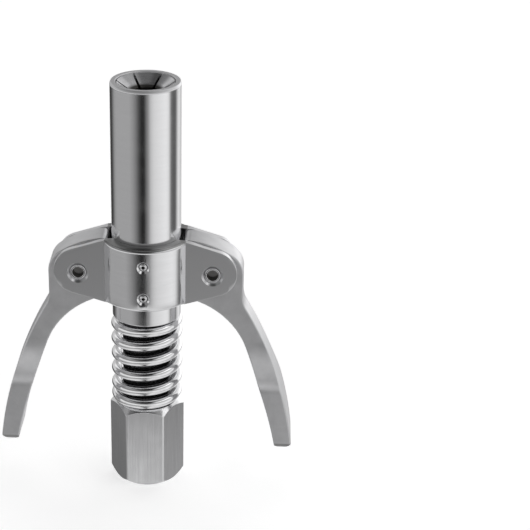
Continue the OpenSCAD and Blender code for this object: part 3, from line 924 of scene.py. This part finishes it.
def arm_half(z):
    """Half thickness of the lever at a height: plate, hollow flare, grip and rounded end."""
    swell = (grip_t - lever_t) / 2
    share = (flare_top - z) / flare_h
    if share <= 0:
        return lever_t / 2
    if share < flare_knee:
        return lever_t / 2 + swell * share**2 / flare_knee
    if share < 1:
        return grip_t / 2 - swell * (1 - share) ** 2 / (1 - flare_knee)
    into_end = lever_foot + end_r - z
    if into_end <= 0:
        return grip_t / 2
    return grip_t / 2 - end_r + math.sqrt(max(0, end_r**2 - into_end**2))


# Levels of the arm below the flare's top, closest where the flare bends, then round the tip
flare_levels = (0, 1, 2.5, 4, 5.5, 7, 8.5, 9.4, 10.3, 11.1, 11.9, 12.6, 13.2, 15, 18, 21, 23)
tip_steps = 14
tip_turns = [math.pi / 2 * k / tip_steps for k in range(tip_steps + 1)]
arm_levels = [flare_top - drop for drop in flare_levels]
arm_levels += [tip_centre.y - tip_round * math.sin(a) for a in tip_turns]

# Outline of the hub, anticlockwise from the back of the arm to its palm
back_start_a = math.asin((flare_top - back_c.y) / back_r)
hub_line = arc(back_c, back_r, back_start_a, bearing(back_c, waist_end), steps=6)[1:]
hub_line += arc(waist_c, waist_r, bearing(waist_c, waist_end) + math.tau, math.pi, steps=8)[1:]
hub_line += arc(corner_c, corner_r, 0, bearing(crown_c, corner_c), steps=10)
hub_line += arc(crown_c, crown_r, bearing(crown_c, corner_c), bearing(crown_c, nose_c), steps=10)[1:]
hub_line += arc(nose_c, nose_r, bearing(crown_c, nose_c), math.pi, steps=8)[1:]
hub_line += [Vector((nose_x, nose_low)), Vector((nose_x, heel_z + heel_cut))]
hub_line += [Vector((heel_x, heel_z)), arch_end]
arch_low_a = math.asin((flare_top - arch_c.y) / arch_r)
hub_line += arc(arch_c, arch_r, bearing(arch_c, arch_end), arch_low_a, steps=10)[1:-1]


def inward_of(before, after):
    """Direction into a piece between two points of its outline, which runs anticlockwise."""
    run = (after - before).normalized()
    return Vector((-run.y, run.x))


def edge_row(point, inward, half, edge):
    """Points of the rounded edge at one place of the outline, from the front face to the back."""
    section = edge_steps(2 * half, edge, edge)
    return [Vector((*(point + inward * inset), depth - half)).xzy for inset, depth in section]


def lever_mesh():
    """Right lever with its pivot at the origin: edge strip, flat hub faces and a ladder of arm faces."""
    bm = bmesh.new()
    back_rows, palm_rows = [], []
    for z in reversed(arm_levels):
        inner, outer = arm_sides(z)
        edge = min(lever_edge, lever_edge_most * (outer - inner))
        back_rows.append(edge_row(Vector((outer, z)), Vector((-1, 0)), arm_half(z), edge))
        palm_rows.insert(0, edge_row(Vector((inner, z)), Vector((1, 0)), arm_half(z), edge))
    inner, outer = arm_sides(flare_top)
    around = [Vector((outer, flare_top))] + hub_line + [Vector((inner, flare_top))]
    hub_rows = []
    for before, point, after in zip(around, around[1:], around[2:]):
        hub_rows.append(edge_row(point, inward_of(before, after), lever_t / 2, lever_edge))
    rows = loft(bm, back_rows + hub_rows + palm_rows)
    count = len(rows)
    arms = len(back_rows)
    for face in (0, -1):
        bm.faces.new([row[face] for row in rows[arms - 1:count - arms + 1]])
        for k in range(arms - 1):
            a, b = rows[k], rows[k + 1]
            c, d = rows[count - 2 - k], rows[count - 1 - k]
            bm.faces.new((a[face], b[face], c[face], d[face]))
    return bm


finger_r = 1.6
finger_half = 2.8
finger_edge = 0.25
finger_reach = 5.62
finger_x = finger_reach - pivot_x
finger_overlap = 2.6
finger_root = nose_x + finger_overlap
bore_r = 2.03
bore_columns = 48


def finger_mesh():
    """Round-ended finger on the lever's inner side."""
    bm = bmesh.new()
    line = arc((finger_x, 0), finger_r, math.pi / 2, 1.5 * math.pi, steps=12)
    line += [Vector((finger_root, -finger_r)), Vector((finger_root, finger_r))]
    loops = []
    for before, point, after in zip(line[-1:] + line, line, line[1:] + line[:1]):
        loops.append(edge_row(point, inward_of(before, after), finger_half, finger_edge))
    rows = loft(bm, loops, along=True)
    for face in (0, -1):
        bm.faces.new([row[face] for row in rows])
    return bm


for place, side in (("left", -1), ("right", 1)):
    lever_bm = lever_mesh()
    finger_bm = finger_mesh()
    for bm in (lever_bm, finger_bm):
        bmesh.ops.scale(bm, vec=(side, 1, 1), verts=bm.verts)
        bmesh.ops.translate(bm, vec=(side * pivot_x, 0, pivot_z), verts=bm.verts)
    lever = solid(f"lever_{place}_cast", lever_bm)
    carve(lever, finger_bm, "UNION")
    carve(lever, along_y(drill(bore_r, grip_t, bore_columns), side * pivot_x, pivot_z))
    dress(lever, satin_nickel, f"lever_{place}", f"lever_{place}")

# Studio: a pale floor, and a room of soft white screens and dark gaps, which is what the plating
# mirrors. The floor stays out of the reflections, so that the screens show in the upright walls.
floor_half = 2.0
floor_bm = bmesh.new()
bmesh.ops.create_grid(floor_bm, x_segments=8, y_segments=8, size=floor_half)
floor_mesh = bpy.data.meshes.new("floor")
floor_bm.to_mesh(floor_mesh)
floor_bm.free()
floor = bpy.data.objects.new("floor", floor_mesh)
bpy.context.scene.collection.objects.link(floor)
floor.visible_glossy = False
paper = bpy.data.materials.new("paper")
paper.use_nodes = True
paper_shader = paper.node_tree.nodes["Principled BSDF"]
paper_shader.inputs["Base Color"].default_value = (0.95, 0.95, 0.95, 1)
paper_shader.inputs["Roughness"].default_value = 0.9
paper_shader.inputs["Specular IOR Level"].default_value = 0
paper_shader.inputs["Emission Color"].default_value = (1, 1, 1, 1)
paper_shader.inputs["Emission Strength"].default_value = 0.56
floor_mesh.materials.append(paper)

# Camera at the photograph's viewing angle, from above and a little to the right of the front.
# The shift of the lens gives the photograph's framing.
camera_turn = math.radians(4.37)
camera_rise = math.radians(24.84)
camera_roll = math.radians(-0.30)
camera_target = Vector((0, 0, 0.053))
camera_distance = 0.3911
camera_front = Vector((math.sin(camera_turn), -math.cos(camera_turn), 0))
camera_right = Vector((math.cos(camera_turn), math.sin(camera_turn), 0))
camera_back = camera_front * math.cos(camera_rise) + Vector((0, 0, math.sin(camera_rise)))
camera_up = camera_back.cross(camera_right)
rolled_right = camera_right * math.cos(camera_roll) + camera_up * math.sin(camera_roll)
rolled_up = camera_up * math.cos(camera_roll) - camera_right * math.sin(camera_roll)
lens = bpy.data.cameras.new("camera")
lens.lens = 110.43
lens.sensor_width = 36
lens.shift_x = 0.2234
lens.shift_y = 0.0283
lens.clip_start = 0.01
camera = bpy.data.objects.new("camera", lens)
camera.matrix_world = Matrix((rolled_right, rolled_up, camera_back)).transposed().to_4x4()
camera.location = camera_target + camera_back * camera_distance
bpy.context.scene.collection.objects.link(camera)
bpy.context.scene.camera = camera

# Screens of the room by bearing from the camera, in degrees to the right, with their brightness
under_screens = [
    (-180, 0.8), (-34, 0.8), (-20, 0.3), (-13, 0.05), (-4, 0.05), (4, 0.3), (16, 0.8), (180, 0.8),
]
floor_screens = [
    (-180, 0.9), (-165, 0.9), (-150, 0.18), (-105, 0.17), (-60, 0.4), (-30, 0.6), (-9, 0.8), (20, 0.8),
    (60, 0.5), (90, 0.4), (115, 0.38), (140, 0.9), (180, 0.9),
]
low_screens = [
    (-180, 0.8), (-168, 0.7), (-158, 0.05), (-148, 0.04), (-136, 0.1), (-120, 0.36), (-108, 0.42),
    (-54, 0.42), (-42, 0.33), (-32, 0.21), (-22, 0.07), (-13, 0.015), (-5, 0.03), (6, 0.27), (16, 0.64),
    (26, 0.79), (40, 0.87), (66, 0.98), (77, 0.9), (89, 0.2), (98, 0.13), (110, 0.13), (119, 0.5),
    (126, 0.85), (138, 0.9), (146, 0.62), (156, 0.7), (170, 0.8), (180, 0.8),
]
middle_screens = [
    (-180, 0.42), (-160, 0.6), (-110, 0.8), (-40, 0.9), (0, 0.85), (30, 0.85), (110, 0.95), (125, 1.5),
    (160, 1.5), (172, 0.5), (180, 0.42),
]
high_screens = [
    (-180, 0.42), (-172, 0.45), (-158, 0.95), (-148, 0.95), (-130, 0.25), (-30, 0.25), (-13, 0.2), (-4, 0.2),
    (20, 0.36), (60, 0.52), (90, 0.75), (120, 0.95), (158, 0.95), (172, 0.45), (180, 0.42),
]
lamp_screens = [
    (-180, 0.6), (-125, 0.3), (-95, 0.4), (-60, 0.3), (-40, 0.1), (-24, 0.02), (10, 0.02), (36, 1.0),
    (95, 1.5), (125, 0.6), (180, 0.6),
]
ceiling_screens = [
    (-180, 1.2), (-165, 1.0), (-138, 0.12), (-40, 0.06), (-24, 0.02), (10, 0.02), (50, 0.25), (100, 0.45),
    (125, 0.65), (150, 1.1), (180, 1.2),
]
zenith_screens = [(-180, 0.22), (180, 0.22)]
room = bpy.data.worlds.new("room")
bpy.context.scene.world = room
room.use_nodes = True
sky = room.node_tree.nodes
wires = room.node_tree.links
look = sky.new("ShaderNodeTexCoord")
to_right = sky.new("ShaderNodeVectorMath")
to_right.operation = "DOT_PRODUCT"
to_right.inputs[1].default_value = camera_right
to_front = sky.new("ShaderNodeVectorMath")
to_front.operation = "DOT_PRODUCT"
to_front.inputs[1].default_value = camera_front
round_room = sky.new("ShaderNodeMath")
round_room.operation = "ARCTAN2"
circle = sky.new("ShaderNodeMapRange")
circle.inputs["From Min"].default_value = -math.pi
circle.inputs["From Max"].default_value = math.pi
elevation = sky.new("ShaderNodeSeparateXYZ")
wires.new(look.outputs["Generated"], to_right.inputs[0])
wires.new(look.outputs["Generated"], to_front.inputs[0])
wires.new(look.outputs["Generated"], elevation.inputs["Vector"])
wires.new(to_right.outputs["Value"], round_room.inputs[0])
wires.new(to_front.outputs["Value"], round_room.inputs[1])
wires.new(round_room.outputs["Value"], circle.inputs["Value"])


def screens(stops):
    """Colour ramp round the room."""
    ramp = sky.new("ShaderNodeValToRGB")
    wires.new(circle.outputs["Result"], ramp.inputs["Fac"])
    points = ramp.color_ramp.elements
    while len(points) < len(stops):
        points.new(0.5)
    for point, (degrees, light) in zip(points, stops):
        point.position = (degrees + 180) / 360
        point.color = (light, light, light, 1)
    return ramp.outputs["Color"]


def above(lower, stops, start, end):
    """Ring of screens over the lower part of the room, blended in between two elevations in degrees."""
    share = sky.new("ShaderNodeMapRange")
    share.interpolation_type = "SMOOTHSTEP"
    share.inputs["From Min"].default_value = math.sin(math.radians(start))
    share.inputs["From Max"].default_value = math.sin(math.radians(end))
    mix = sky.new("ShaderNodeMix")
    mix.data_type = "RGBA"
    wires.new(elevation.outputs["Z"], share.inputs["Value"])
    wires.new(share.outputs["Result"], mix.inputs["Factor"])
    wires.new(lower, mix.inputs["A"])
    wires.new(screens(stops), mix.inputs["B"])
    return mix.outputs["Result"]


walls = above(screens(under_screens), floor_screens, start=-52, end=-38)
walls = above(walls, low_screens, start=-30.5, end=-28.5)
walls = above(walls, middle_screens, start=-17, end=-8)
walls = above(walls, high_screens, start=11, end=19)
walls = above(walls, lamp_screens, start=33, end=41)
walls = above(walls, ceiling_screens, start=51, end=56)
walls = above(walls, zenith_screens, start=70, end=80)
wires.new(walls, sky["Background"].inputs["Color"])
sky["Background"].inputs["Strength"].default_value = 1
bpy.context.scene.view_settings.view_transform = "Standard"
